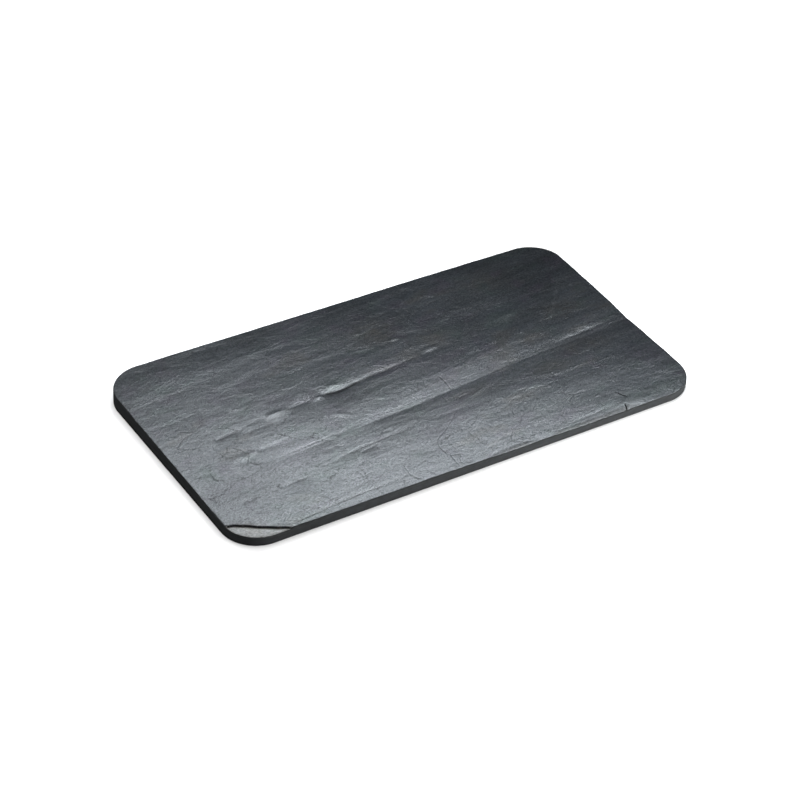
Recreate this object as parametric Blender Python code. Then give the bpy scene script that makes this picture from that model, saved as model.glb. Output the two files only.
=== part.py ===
"""A riven slate slab: one thin oblong of split stone with rounded corners and ground edges.

The upper face is as it split, with long creases, stepped ledges and a spalled corner. The
underside split flatter, and the slab rests on it. +X runs along the slab, +Y across it from
its front edge to its back edge, +Z up, and the origin is at the middle of the underside.
Sizes below are in millimetres. MM turns them into metres when the mesh is made.
"""

import math
import random

import bmesh
import bpy
import numpy as np
from mathutils import Vector, kdtree, noise
from mathutils.geometry import delaunay_2d_cdt

MM = 0.001

LENGTH = 325.0
WIDTH = 176.0
RADIUS_BACK_RIGHT = 21.7
RADIUS_BACK_LEFT = 25.1
RADIUS_FRONT_LEFT = 22.4
RADIUS_FRONT_RIGHT = 23.5
ARRIS = 0.45  # width of the eased edge, above
UNDER_ARRIS = 0.2  # and below, where it is sharper

# The two split faces aren't parallel: the slab thins to the right and to the front
THICKNESS = 7.3
RISE_TO_BACK = 1.34
RISE_TO_LEFT = 1.11

GRAIN_SLOPE = 0.1  # the grain climbs this much in Y for each step in X

# The shape of a ledge, from behind it to in front of it
LIP = 0.24  # height of its rounded lip
LIP_REACH = 1.6
LIP_FULL = 0.2  # a ledge that drops less than this has a lower lip
RISER = 0.8  # plan width of the steep part
HOLLOW = 0.45  # share of the drop that is a narrow hollow along the foot
HOLLOW_REACH = 2.0
FOOT_REACH = 7.0  # the rest of the drop is climbed again over this distance

# Spacing of the mesh's points
EDGE_STEP = 6.0
FACE_STEP = 5.6
LEDGE_STEP = 3.2
NICK_STEP = 1.6
UNDER_STEP = 13.0
FLANK = 2.6  # from a ledge's lip or foot to the next row of points
LENS_FLANK = 1.3  # of a lens's reach, from its top to the points on its slopes
ROW_MARGIN = 0.8  # rows of points stop this far inside the rim
RIM_CLEARANCE = 1.5  # kept in the rim round the points where a ledge runs out
SLIGHT = 0.1  # a ledge less deep than this leaves the rim's points as they are
JITTER = 0.2  # of a step, so that the points aren't in lines
CLEARANCE = 0.6  # of a step, kept round the ledges' points
SHARP_FROM = 28.0  # degrees between two triangles

SLATE_COLOUR = (0.045, 0.052, 0.060, 1.0)
SLATE_ROUGHNESS = 0.5


class Crease:
    """A line along which a face dips, steps down, or both.

    path holds points (x, y, sag, drop), run so that the higher side of the step is on the
    left. The face sags towards the line over the distance back, evenly if bend is 1 and ever
    more steeply if it is 2. It climbs out again over the distance front, or stays down if
    front is None. Along the line itself it rounds over a lip, as a share of the usual one, and
    drops down a riser.
    """

    def __init__(self, path, back, front, lip=1.0, bend=2.0):
        self.path = smooth_path(path, LEDGE_STEP)
        self.back = back
        self.front = front
        self.lip = lip
        self.bend = bend


def smooth_path(points, spacing):
    """A Catmull-Rom curve through the points, as an array with a row about every spacing."""
    knots = np.array([points[0], *points, points[-1]], float)
    knots[0, :2] = 2 * knots[1, :2] - knots[2, :2]
    knots[-1, :2] = 2 * knots[-2, :2] - knots[-3, :2]
    rows = []
    for a, b, c, d in zip(knots, knots[1:], knots[2:], knots[3:]):
        count = max(1, round(math.dist(b[:2], c[:2]) / spacing))
        for t in np.arange(count)[:, None] / count:
            rows.append(
                0.5 * (2 * b + (c - a) * t + (2 * a - 5 * b + 4 * c - d) * t**2
                       + (3 * b - a - 3 * c + d) * t**3)
            )
    path = np.array([*rows, knots[-2]])
    path[:, 2:] = np.maximum(path[:, 2:], 0.0)
    return path


def beside(path, x, y):
    """How far each point is to the left of the path, and the path's other columns abreast."""
    nearest = np.full(x.shape, np.inf)
    side = np.zeros(x.shape)
    others = np.zeros((path.shape[1] - 2, *x.shape))
    for start, end in zip(path, path[1:]):
        run_x, run_y = end[:2] - start[:2]
        along = ((x - start[0]) * run_x + (y - start[1]) * run_y) / (run_x**2 + run_y**2)
        along = np.clip(along, 0.0, 1.0)
        off_x = x - start[0] - along * run_x
        off_y = y - start[1] - along * run_y
        away = np.hypot(off_x, off_y)
        closer = away < nearest
        nearest[closer] = away[closer]
        side[closer] = (np.sign(run_x * off_y - run_y * off_x) * away)[closer]
        others[:, closer] = start[2:, None] + along[closer] * (end - start)[2:, None]
    return side, *others


def dip(crease, x, y):
    """How far the crease lowers the face."""
    side, sag, drop = beside(crease.path, x, y)
    lip = LIP * crease.lip * np.clip(drop / LIP_FULL, 0.0, 1.0)
    above = np.maximum(side, 0.0)
    ahead = np.maximum(-side, 0.0)
    beyond = np.maximum(-side - RISER, 0.0)
    down = lip + drop * np.clip(-side / RISER, 0.0, 1.0)
    if crease.front is None:
        climb = 1.0
    else:
        climb = HOLLOW * np.exp(-beyond / HOLLOW_REACH)
        climb = climb + (1 - HOLLOW) * np.exp(-beyond / FOOT_REACH)
        sag = np.where(side > 0, sag, sag * np.exp(-ahead / crease.front))
    sag = sag * np.maximum(1 - above / crease.back, 0.0) ** crease.bend
    return sag + np.where(side > 0, lip * np.exp(-above / LIP_REACH), down * climb)


# The long fold that runs out through the right-hand end
LONG_FOLD = Crease(
    [(-128, -35.5, 0.0, 0.0), (-100, -31.5, 0.05, 0.0), (-80, -29.2, 0.12, 0.0),
     (-65, -27.8, 0.25, 0.0), (-50, -26.3, 0.42, 0.05), (-25, -24.2, 0.62, 0.16),
     (5, -21.9, 0.88, 0.1), (35, -19.6, 1.12, 0.03), (50, -18.0, 1.28, 0.0),
     (60, -16.6, 1.4, 0.0), (75, -15.3, 1.42, 0.0), (90, -14.5, 1.35, 0.0),
     (105, -13.3, 1.15, 0.0), (125, -12.1, 0.95, 0.05), (150, -10.1, 1.0, 0.0),
     (163, -8.3, 1.0, 0.0), (185, -6.0, 1.0, 0.0)],
    back=17.0, front=18.0, lip=0.4, bend=1.15,
)
# A thin shelf just behind it at that end
FOLD_SHELF = Crease(
    [(98, -11.0, 0.0, 0.0), (106, -10.1, 0.14, 0.06), (112, -9.2, 0.3, 0.12),
     (120, -8.2, 0.36, 0.16), (128, -7.3, 0.36, 0.16), (136, -6.8, 0.3, 0.12),
     (144, -6.2, 0.26, 0.06), (152, -5.3, 0.14, 0.03), (160, -4.6, 0.0, 0.0)],
    back=7.0, front=8.0,
)
# The broken ledge across the left half, deepest near its middle
BROKEN_LEDGE = Crease(
    [(-131, 1.9, 0.0, 0.0), (-121, 3.1, 0.03, 0.34), (-107, 5.4, 0.04, 0.03),
     (-97, 7.6, 0.04, 0.14), (-85, 8.8, 0.04, 0.0), (-75, 8.9, 0.08, 0.08),
     (-63, 10.2, 0.16, 0.22), (-52, 11.2, 0.25, 0.1), (-48, 10.9, 0.3, 0.5),
     (-43, 10.3, 0.34, 0.85), (-38, 10.4, 0.38, 0.9), (-33, 11.2, 0.4, 0.78),
     (-28, 12.2, 0.38, 0.6), (-22, 13.2, 0.35, 0.45), (-12, 14.9, 0.3, 0.4),
     (4, 16.3, 0.22, 0.18), (22, 18.0, 0.1, 0.03), (28, 18.2, 0.08, 0.15),
     (46, 21.0, 0.0, 0.0)],
    back=13.0, front=13.0,
)
# Short ripples nearer the front edge
RIPPLES = [
    Crease([(-146, -55, 0.0, 0.0), (-142, -56, 0.04, 0.1), (-135, -55.5, 0.06, 0.12),
            (-126, -54.5, 0.0, 0.0)], 8.0, 7.0),
    Crease([(-117, -54.5, 0.0, 0.0), (-112, -54, 0.05, 0.1), (-102, -53, 0.07, 0.12),
            (-92, -53.5, 0.0, 0.0)], 8.0, 7.0),
    Crease([(-82, -48, 0.0, 0.0), (-60, -44.8, 0.07, 0.18), (-29, -41.5, 0.05, 0.14),
            (-20, -41, 0.04, 0.0), (0, -39.6, 0.02, 0.05), (40, -37, 0.0, 0.0)], 8.0, 10.0, 0.8),
]
# Faint corrugations at the back left
CORRUGATIONS = [
    Crease([(-175, 47, 0.06, 0.0), (-130, 53, 0.1, 0.02), (-85, 57, 0.1, 0.0),
            (0, 66, 0.0, 0.0)], 12.0, 8.0),
    Crease([(-175, 36, 0.1, 0.0), (-110, 41, 0.12, 0.0), (-40, 48, 0.1, 0.0),
            (10, 53, 0.0, 0.0)], 14.0, 9.0),
]
# A leaf of stone gone from along the front edge, and one from the front left corner
FRONT_LEAF = Crease(
    [(-14, -93, 0.02, 0.25), (8, -86, 0.02, 0.3), (30, -84.5, 0.03, 0.45),
     (48, -86, 0.02, 0.15), (60, -84.5, 0.02, 0.4), (90, -84, 0.02, 0.4),
     (110, -83, 0.01, 0.25), (124, -88, 0.01, 0.07)],
    back=4.0, front=None, lip=0.1,
)
SPALLED_CORNER = Crease(
    [(-172, -67.5, 0.1, 1.1), (-157, -70.8, 0.1, 1.1), (-145, -77.9, 0.1, 1.15),
     (-135, -83.3, 0.1, 1.15), (-122, -92, 0.1, 0.8)],
    back=3.0, front=None, lip=0.2,
)
CREASES = [LONG_FOLD, FOLD_SHELF, BROKEN_LEDGE, *RIPPLES, *CORRUGATIONS]
CREASES += [FRONT_LEAF, SPALLED_CORNER]

# Two short deep nicks near the front right corner: points (x, y, depth)
NICKS = [
    [(109.2, -70.3, 0.0), (110.4, -72.3, 1.0), (112.5, -75.7, 1.0), (113.7, -77.7, 0.0)],
    [(108.3, -81.9, 0.0), (107.7, -83.6, 1.0), (107.0, -85.6, 0.8), (106.3, -87.0, 0.0)],
]
NICK_HALF_WIDTH = 0.45

# Broad swells of the upper face: (x, y, reach along X, reach along Y, height)
SWELLS = [
    (158, -62, 34, 30, 0.55),
    (160, 50, 40, 34, 0.2),
    (60, 88, 30, 18, 0.2),
    (-30, -88, 15, 16, 0.3),
    (60, -30, 70, 26, 0.25),
    (0, -10, 400, 80, 0.3),
    (-162, 88, 26, 30, -0.45),
    (150, 92, 24, 18, -0.45),
    (-160, -62, 24, 16, 0.25),
    (-162, 60, 16, 20, 0.15),
    (-80, 66, 85, 15, 0.36),
]

# The larger raised lenses of stone: (x, y, reach along, reach across, height, degrees turned)
LENSES = [
    (-85.5, 7.6, 6.5, 1.9, 0.36, 5),
    (-55, 9.7, 4.0, 1.7, 0.28, 8),
    (-40, 15.5, 6.5, 2.5, 0.28, 5),
    (33, 21.0, 5.0, 1.8, 0.22, 8),
    (-125, -20.2, 6.0, 2.6, 0.26, 8),
    (-50, -12.0, 4.5, 1.9, 0.2, -27),
    (95, 28.5, 6.0, 2.4, 0.22, 8),
]

# Uneven splitting: (reach along the grain, reach across it, height, where in the noise)
WAVES = [
    (70.0, 16.0, 0.11, (3.1, 8.4, 0.0)),
    (26.0, 13.0, 0.07, (11.7, 2.9, 4.0)),
]

# Shallow hollows of the underside: one along its middle, and one where it lost a leaf of stone
UNDER_CREASES = [
    Crease([(-120, -46, 0.0, 0.0), (-70, -34, 0.2, 0.25), (0, -24, 0.24, 0.36),
            (60, -30, 0.24, 0.3), (120, -22, 0.0, 0.0)], 16.0, 14.0, 0.1),
    Crease([(104, 96, 0.25, 0.25), (60, 66, 0.25, 0.25), (-20, 60, 0.27, 0.27),
            (-90, 64, 0.25, 0.25), (-128, 96, 0.25, 0.25)], 10.0, None, 0.1),
]
SETTLE = 0.12  # hollows shallower than this stay in the flat


def waves(x, y):
    """The smooth unevenness of a split face, drawn out along the grain."""
    total = np.zeros(x.shape)
    along = x + GRAIN_SLOPE * y
    across = y - GRAIN_SLOPE * x
    for reach_along, reach_across, height, where in WAVES:
        offset = Vector(where)
        places = zip(along / reach_along, across / reach_across)
        total += height * np.array([noise.noise(Vector((a, b, 0.0)) + offset) for a, b in places])
    return total


def lens(x, y, centre_x, centre_y, reach_along, reach_across, height, turned):
    """Height of a small raised lens of stone."""
    cos, sin = math.cos(math.radians(turned)), math.sin(math.radians(turned))
    along = (x - centre_x) * cos + (y - centre_y) * sin
    across = (y - centre_y) * cos - (x - centre_x) * sin
    return height * np.exp(-((along / reach_along) ** 2) - (across / reach_across) ** 2)


def groove(path, half_width, x, y):
    """How far a V-shaped groove along the path lowers the face."""
    side, depth = beside(path, x, y)
    return depth * np.maximum(0.0, 1 - np.abs(side) / half_width)


def upper_face(x, y):
    """Height of the upper face."""
    z = THICKNESS + RISE_TO_BACK * y / (WIDTH / 2) - RISE_TO_LEFT * x / (LENGTH / 2)
    z = z + waves(x, y)
    for swell_x, swell_y, reach_x, reach_y, height in SWELLS:
        z += height * np.exp(-(((x - swell_x) / reach_x) ** 2) - ((y - swell_y) / reach_y) ** 2)
    for placed in LENSES:
        z += lens(x, y, *placed)
    for crease in CREASES:
        z -= dip(crease, x, y)
    for nick in NICKS:
        z -= groove(smooth_path(nick, NICK_STEP), NICK_HALF_WIDTH, x, y)
    return z


def underside(x, y):
    """Height of the underside: nought over the flat that the slab rests on."""
    z = sum(dip(crease, x, y) for crease in UNDER_CREASES)
    return np.maximum(z - SETTLE, 0.0)


def corners():
    """Each corner of the outline, anticlockwise: centre of its arc, radius and first angle."""
    right, back = LENGTH / 2, WIDTH / 2
    return [
        (right - RADIUS_FRONT_RIGHT, -back + RADIUS_FRONT_RIGHT, RADIUS_FRONT_RIGHT, -90),
        (right - RADIUS_BACK_RIGHT, back - RADIUS_BACK_RIGHT, RADIUS_BACK_RIGHT, 0),
        (-right + RADIUS_BACK_LEFT, back - RADIUS_BACK_LEFT, RADIUS_BACK_LEFT, 90),
        (-right + RADIUS_FRONT_LEFT, -back + RADIUS_FRONT_LEFT, RADIUS_FRONT_LEFT, 180),
    ]


def on_arc(corner, turned):
    """A point on a corner's arc and its outward normal, as (x, y, normal x, normal y)."""
    centre_x, centre_y, radius, first = corner
    angle = math.radians(first + turned)
    out_x, out_y = math.cos(angle), math.sin(angle)
    return centre_x + radius * out_x, centre_y + radius * out_y, out_x, out_y


def outline(step):
    """Points round the outline about a step apart, each with its outward normal."""
    ring = []
    arcs = corners()
    for corner, following in zip(arcs, arcs[1:] + arcs[:1]):
        count = max(4, round(math.radians(90) * corner[2] / step))
        ring += [on_arc(corner, 90 * i / count) for i in range(count)]
        start, end = np.array(on_arc(corner, 90)), np.array(on_arc(following, 0))
        count = max(1, round(math.dist(start[:2], end[:2]) / step))
        ring += [tuple(start + (end - start) * i / count) for i in range(count)]
    return np.array(ring)


def rim_stations(creases):
    """The outline's points, with more where a ledge's lip and foot run out at the edge."""
    even = outline(EDGE_STEP)
    fine = outline(RISER / 2)
    extra = []
    for crease in creases:
        side, sag, drop = beside(crease.path, fine[:, 0], fine[:, 1])
        for level in (0.0, -RISER):
            before = side - level
            after = np.roll(before, -1)
            meets = (before * after < 0) & (sag + drop > SLIGHT) & (np.abs(before - after) < RISER)
            extra += list(fine[meets])
    if extra:
        extra = np.array(extra)
        gaps = np.hypot(even[:, None, 0] - extra[:, 0], even[:, None, 1] - extra[:, 1])
        even = even[gaps.min(axis=1) > RIM_CLEARANCE]
        even = np.vstack([even, extra])
    return even[np.argsort([way_round(x, y) for x, y, _, _ in even])]


def way_round(x, y):
    """A number that grows steadily round the outline, to put its points in order."""
    return math.atan2(y / WIDTH, x / LENGTH)


def within_outline(x, y, margin):
    """Whether a point is inside the rounded oblong by at least the margin."""
    for centre_x, centre_y, radius, _ in corners():
        past_x = (x - centre_x) * math.copysign(1, centre_x)
        past_y = (y - centre_y) * math.copysign(1, centre_y)
        if past_x > 0 and past_y > 0:
            return math.hypot(past_x, past_y) < radius - margin
    return abs(x) < LENGTH / 2 - margin and abs(y) < WIDTH / 2 - margin


class Layout:
    """Points in plan, and edges tied between them, from which a face is triangulated."""

    def __init__(self, rim):
        count = len(rim)
        self.points = [tuple(point) for point in rim]
        self.edges = [(i, (i + 1) % count) for i in range(count)]

    def add_row(self, path, offset, tied):
        """Adds the path's points moved sideways, tied one to the next where asked."""
        run = np.gradient(path[:, :2], axis=0)
        run /= np.linalg.norm(run, axis=1)[:, None]
        last = None
        for (x, y), (run_x, run_y) in zip(path[:, :2], run):
            point = (x - run_y * offset, y + run_x * offset)
            if not within_outline(*point, ARRIS + ROW_MARGIN):
                last = None
                continue
            self.points.append(point)
            if tied and last is not None:
                self.edges.append((last, len(self.points) - 1))
            last = len(self.points) - 1

    def add_crease(self, crease):
        self.add_row(crease.path, 0.0, tied=True)
        if crease.path[:, 3].any():
            self.add_row(crease.path, -RISER, tied=True)
        self.add_row(crease.path, FLANK, tied=False)
        if crease.front:
            self.add_row(crease.path, -RISER - FLANK, tied=False)

    def add_nick(self, nick):
        path = smooth_path(nick, NICK_STEP)
        for offset in (-NICK_HALF_WIDTH, 0.0, NICK_HALF_WIDTH):
            self.add_row(path, offset, tied=True)

    def add_lens(self, x, y, reach_along, reach_across, _, turned):
        """Adds three short rows, along the top of a lens and on both its slopes."""
        cos, sin = math.cos(math.radians(turned)), math.sin(math.radians(turned))
        for across in (-LENS_FLANK * reach_across, 0.0, LENS_FLANK * reach_across):
            for along in (-reach_along, 0.0, reach_along):
                self.points.append((x + along * cos - across * sin, y + along * sin + across * cos))

    def fill(self, step, seed):
        """Scatters points along the grain, a step apart and clear of those already there."""
        tree = kdtree.KDTree(len(self.points))
        for i, (x, y) in enumerate(self.points):
            tree.insert((x, y, 0.0), i)
        tree.balance()
        chance = random.Random(seed)
        for row, v in enumerate(np.arange(-WIDTH, WIDTH, step * math.sqrt(0.75))):
            for u in np.arange(-LENGTH, LENGTH, step) + step / 2 * (row % 2):
                x = u - GRAIN_SLOPE * v + chance.uniform(-JITTER, JITTER) * step
                y = v + GRAIN_SLOPE * u + chance.uniform(-JITTER, JITTER) * step
                if not within_outline(x, y, ARRIS + step / 2):
                    continue
                if tree.find((x, y, 0.0))[2] > CLEARANCE * step:
                    self.points.append((x, y))

    def triangulate(self):
        """The face's points in plan, its triangles, and which of its points are the rim's."""
        flat = [Vector(point) for point in self.points]
        points, _, faces, sources, _, _ = delaunay_2d_cdt(flat, self.edges, [], 1, 1e-4)
        place_of = {old: new for new, olds in enumerate(sources) for old in olds}
        return np.array([tuple(point) for point in points]), faces, place_of


def add_face(bm, stations, arris, creases, step, height, seed, nicks=(), lenses=()):
    """Adds a split face inside the rim, and gives the vertices of its rim in order."""
    rim = stations[:, :2] - stations[:, 2:] * arris
    layout = Layout(rim)
    for crease in creases:
        layout.add_crease(crease)
    for nick in nicks:
        layout.add_nick(nick)
    for placed in lenses:
        layout.add_lens(*placed)
    layout.fill(step, seed)
    points, faces, place_of = layout.triangulate()
    heights = height(points[:, 0], points[:, 1])
    verts = [bm.verts.new((x * MM, y * MM, z * MM)) for (x, y), z in zip(points, heights)]
    for face in faces:
        bm.faces.new([verts[i] for i in face])
    return [verts[place_of[i]] for i in range(len(rim))]


def add_ring(bm, stations, beside_ring, lift):
    """Adds a ring round the outline itself, lifted from the heights of the rim beside it."""
    return [
        bm.verts.new((x * MM, y * MM, vert.co.z + lift * MM))
        for (x, y, _, _), vert in zip(stations, beside_ring)
    ]


def join_rings(bm, lower, upper):
    count = len(lower)
    for i in range(count):
        following = (i + 1) % count
        bm.faces.new((lower[i], lower[following], upper[following], upper[i]))


def slate_material():
    material = bpy.data.materials.new("slate")
    material.use_nodes = True
    shader = material.node_tree.nodes["Principled BSDF"]
    shader.inputs["Base Color"].default_value = SLATE_COLOUR
    shader.inputs["Roughness"].default_value = SLATE_ROUGHNESS
    shader.inputs["Metallic"].default_value = 0.0
    return material


def make_slab():
    stations = rim_stations([LONG_FOLD, FRONT_LEAF, SPALLED_CORNER, *UNDER_CREASES])
    bm = bmesh.new()
    top_rim = add_face(bm, stations, ARRIS, CREASES, FACE_STEP, upper_face, 4, NICKS, LENSES)
    under_rim = add_face(bm, stations, UNDER_ARRIS, UNDER_CREASES, UNDER_STEP, underside, 9)
    side_top = add_ring(bm, stations, top_rim, -ARRIS)
    side_foot = add_ring(bm, stations, under_rim, UNDER_ARRIS)
    join_rings(bm, under_rim, side_foot)
    join_rings(bm, side_foot, side_top)
    join_rings(bm, side_top, top_rim)
    bmesh.ops.recalc_face_normals(bm, faces=bm.faces)
    mesh = bpy.data.meshes.new("slab")
    bm.to_mesh(mesh)
    bm.free()
    mesh.shade_smooth()
    mesh.set_sharp_from_angle(angle=math.radians(SHARP_FROM))
    mesh.materials.append(slate_material())
    slab = bpy.data.objects.new("slab", mesh)
    bpy.context.scene.collection.objects.link(slab)


def main():
    for old in list(bpy.data.objects):
        bpy.data.objects.remove(old, do_unlink=True)
    make_slab()


main()
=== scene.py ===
"""A riven slate slab on a plain studio floor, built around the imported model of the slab.

Run as a script, it registers the operators below, makes the slab's split, ground and spalled
surfaces in full detail, then the stage. Shapes are worked out in millimetres: +X along the
slab, +Y from its front edge to its back edge, +Z up, with the origin under its middle.
"""

import math
import random

import bpy
import numpy as np
from bpy.props import FloatProperty, FloatVectorProperty, PointerProperty
from bpy.types import Operator, Panel, PropertyGroup
from mathutils import Matrix, Vector, kdtree, noise
from mathutils.geometry import delaunay_2d_cdt


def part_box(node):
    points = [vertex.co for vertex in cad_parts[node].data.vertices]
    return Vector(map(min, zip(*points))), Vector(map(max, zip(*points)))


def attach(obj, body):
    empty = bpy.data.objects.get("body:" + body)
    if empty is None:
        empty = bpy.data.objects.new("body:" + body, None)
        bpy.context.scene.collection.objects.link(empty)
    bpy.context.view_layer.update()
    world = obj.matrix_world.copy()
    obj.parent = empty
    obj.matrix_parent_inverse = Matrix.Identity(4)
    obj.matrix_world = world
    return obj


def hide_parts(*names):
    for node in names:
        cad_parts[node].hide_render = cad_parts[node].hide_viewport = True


bl_info = {
    "name": "Riven Slate Slab",
    "version": (1, 0, 0),
    "blender": (4, 5, 0),
    "location": "3D View > Sidebar > Slate",
    "description": "Builds a split slate slab with ground edges, and a plain studio to show it in",
    "category": "Add Mesh",
}

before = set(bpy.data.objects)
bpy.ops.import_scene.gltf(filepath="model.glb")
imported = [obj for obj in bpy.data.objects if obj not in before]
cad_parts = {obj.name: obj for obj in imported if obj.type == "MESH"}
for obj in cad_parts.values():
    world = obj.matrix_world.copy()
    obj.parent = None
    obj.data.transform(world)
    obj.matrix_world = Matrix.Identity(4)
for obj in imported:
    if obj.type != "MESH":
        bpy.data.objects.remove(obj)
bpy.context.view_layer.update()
LOW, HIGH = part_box("slab")

MM = 0.001
GRAIN_SLOPE = 0.1  # the grain climbs this much in Y for each step in X


# ---------------------------------------------------------------- Settings


def length_property(name, description, default):
    return FloatProperty(
        name=name, description=description, default=default, unit="LENGTH", subtype="DISTANCE"
    )


def colour_property(name, description, default):
    return FloatVectorProperty(
        name=name, description=description, default=default, subtype="COLOR", min=0, max=1
    )


def power_property(name, description, default):
    return FloatProperty(name=name, description=description, default=default, unit="POWER")


class SlabSizes(PropertyGroup):
    length: length_property("Length", "Along X", HIGH.x - LOW.x)
    width: length_property("Width", "Along Y", HIGH.y - LOW.y)
    thickness: length_property("Thickness", "At the middle of the slab", 0.0073)
    rise_to_back: length_property("Rise to back", "Thicker at the back edge by", 0.00134)
    rise_to_left: length_property("Rise to left", "Thicker at the left end by", 0.00111)
    radius_back_right: length_property("Back right", "Corner radius", 0.0217)
    radius_back_left: length_property("Back left", "Corner radius", 0.0251)
    radius_front_left: length_property("Front left", "Corner radius", 0.0224)
    radius_front_right: length_property("Front right", "Corner radius", 0.0235)
    arris: length_property("Arris", "Width of the eased edge, above", 0.00045)
    under_arris: length_property("Under arris", "Width of the eased edge, below", 0.0002)
    face_step: length_property("Face detail", "Between points of the upper face", 0.00098)
    under_step: length_property("Underside detail", "Between its points", 0.0025)
    edge_step: length_property("Edge detail", "Between points round the outline", 0.0012)


class SlateFinish(PropertyGroup):
    deep: colour_property("Deep", "Darker stone", (0.0066, 0.0080, 0.0095))
    pale: colour_property("Pale", "Paler stone", (0.0132, 0.0155, 0.0185))
    brown: colour_property("Brown", "Tint of the browner patches", (0.0145, 0.0135, 0.012))
    green: colour_property("Green", "Tint of the greener patches", (0.0096, 0.0135, 0.0135))
    violet: colour_property("Violet", "Tint of the purpler patches", (0.0135, 0.012, 0.017))
    fresh: colour_property("Fresh", "Newly broken stone", (0.058, 0.056, 0.050))
    ground: colour_property("Ground", "Ground edges", (0.0178, 0.0187, 0.0192))
    roughness: FloatProperty(name="Roughness", description="Split faces", default=0.33)
    ground_roughness: FloatProperty(name="Edge roughness", description="Edges", default=0.85)
    relief: FloatProperty(name="Grain relief", description="Share of its usual depth", default=1.0)


class StageSettings(PropertyGroup):
    floor: colour_property("Floor", "Colour of the floor", (0.86, 0.86, 0.86))
    key: power_property("Key", "Soft light behind the slab", 1.55)
    overhead: power_property("Overhead", "Broad light above", 21.0)
    fill: power_property("Fill", "Low light at the front right", 3.8)
    front_fill: power_property("Front fill", "Low light in front", 0.95)
    wash: power_property("Wash", "For the floor behind", 10.0)
    side_wash: power_property("Side wash", "For the floor at the right", 2.0)
    sky: FloatProperty(name="Sky", description="Strength of the room's own light", default=0.05)


# ---------------------------------------------------------------- Relief of the split faces

LEDGE_STEP = 0.9  # between the points along a ledge
WANDER = 0.45  # how far a broken edge strays to either side of its line
WANDER_REACH = 7.0  # and over what length
LIP = 0.24  # height of the rounded lip above a ledge
LIP_REACH = 1.6
LIP_FULL = 0.2  # a ledge that drops less than this has a lower lip
RUBBED_FULL = 0.1  # and less than this, a less rubbed one
LENS_FULL = 0.3  # a lens lower than this is less rubbed
HOLLOW = 0.45  # share of a ledge's drop that is a narrow hollow along its foot
HOLLOW_REACH = 2.0
FOOT_REACH = 7.0  # the rest of the drop is climbed again over this distance
FADES_OUT = 5.0  # a crease is left out beyond this many times its reach


class Crease:
    """A line along which a face dips, steps down, or both.

    path holds points (x, y, sag, drop), run so that the higher side of the step is on the
    left. The face sags towards the line over the distance back, evenly if bend is 1 and ever
    more steeply if it is 2. It climbs out again over the distance front, or stays down if
    front is None. Along the line itself it rounds over a lip, as a share of the usual one, and
    drops down a riser of the given width. rubbed is how much the lip shines.
    """

    def __init__(self, path, back, front, riser=0.8, lip=1.0, rubbed=1.0, bend=2.0, seed=0.0):
        self.path = wander(smooth_path(path, LEDGE_STEP), seed)
        self.back = back
        self.front = front
        self.riser = riser
        self.lip = lip
        self.rubbed = rubbed
        self.bend = bend


def smooth_path(points, spacing):
    """A Catmull-Rom curve through the points, as an array with a row about every spacing."""
    knots = np.array([points[0], *points, points[-1]], float)
    knots[0, :2] = 2 * knots[1, :2] - knots[2, :2]
    knots[-1, :2] = 2 * knots[-2, :2] - knots[-3, :2]
    rows = []
    for a, b, c, d in zip(knots, knots[1:], knots[2:], knots[3:]):
        count = max(1, round(math.dist(b[:2], c[:2]) / spacing))
        for t in np.arange(count)[:, None] / count:
            rows.append(
                0.5 * (2 * b + (c - a) * t + (2 * a - 5 * b + 4 * c - d) * t**2
                       + (3 * b - a - 3 * c + d) * t**3)
            )
    path = np.array([*rows, knots[-2]])
    path[:, 2:] = np.maximum(path[:, 2:], 0.0)
    return path


def wander(path, seed):
    """The path with the small uneven turns of a broken edge."""
    moved = path.copy()
    for row in moved:
        place = Vector((row[0] / WANDER_REACH, row[1] / WANDER_REACH, seed))
        row[1] += WANDER * noise.fractal(place, 1.0, 2.0, 3)
    return moved


def beside(path, x, y):
    """How far each point is to the left of the path, and the path's other columns abreast."""
    nearest = np.full(x.shape, np.inf)
    side = np.zeros(x.shape)
    others = np.zeros((path.shape[1] - 2, *x.shape))
    for start, end in zip(path, path[1:]):
        run_x, run_y = end[:2] - start[:2]
        along = ((x - start[0]) * run_x + (y - start[1]) * run_y) / (run_x**2 + run_y**2)
        along = np.clip(along, 0.0, 1.0)
        off_x = x - start[0] - along * run_x
        off_y = y - start[1] - along * run_y
        away = np.hypot(off_x, off_y)
        closer = away < nearest
        nearest[closer] = away[closer]
        side[closer] = (np.sign(run_x * off_y - run_y * off_x) * away)[closer]
        others[:, closer] = start[2:, None] + along[closer] * (end - start)[2:, None]
    return side, *others


def near(path, x, y, reach):
    """Which points are within reach of the box round the path."""
    low, high = path.min(axis=0) - reach, path.max(axis=0) + reach
    return (x > low[0]) & (x < high[0]) & (y > low[1]) & (y < high[1])


def dip(crease, x, y):
    """How far the crease lowers the face at points near it."""
    side, sag, drop = beside(crease.path, x, y)
    lip = LIP * crease.lip * np.clip(drop / LIP_FULL, 0.0, 1.0)
    above = np.maximum(side, 0.0)
    ahead = np.maximum(-side, 0.0)
    beyond = np.maximum(-side - crease.riser, 0.0)
    down = lip + drop * np.clip(-side / crease.riser, 0.0, 1.0)
    if crease.front is None:
        climb = 1.0
    else:
        climb = HOLLOW * np.exp(-beyond / HOLLOW_REACH)
        climb = climb + (1 - HOLLOW) * np.exp(-beyond / FOOT_REACH)
        sag = np.where(side > 0, sag, sag * np.exp(-ahead / crease.front))
    sag = sag * np.maximum(1 - above / crease.back, 0.0) ** crease.bend
    return sag + np.where(side > 0, lip * np.exp(-above / LIP_REACH), down * climb)


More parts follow.
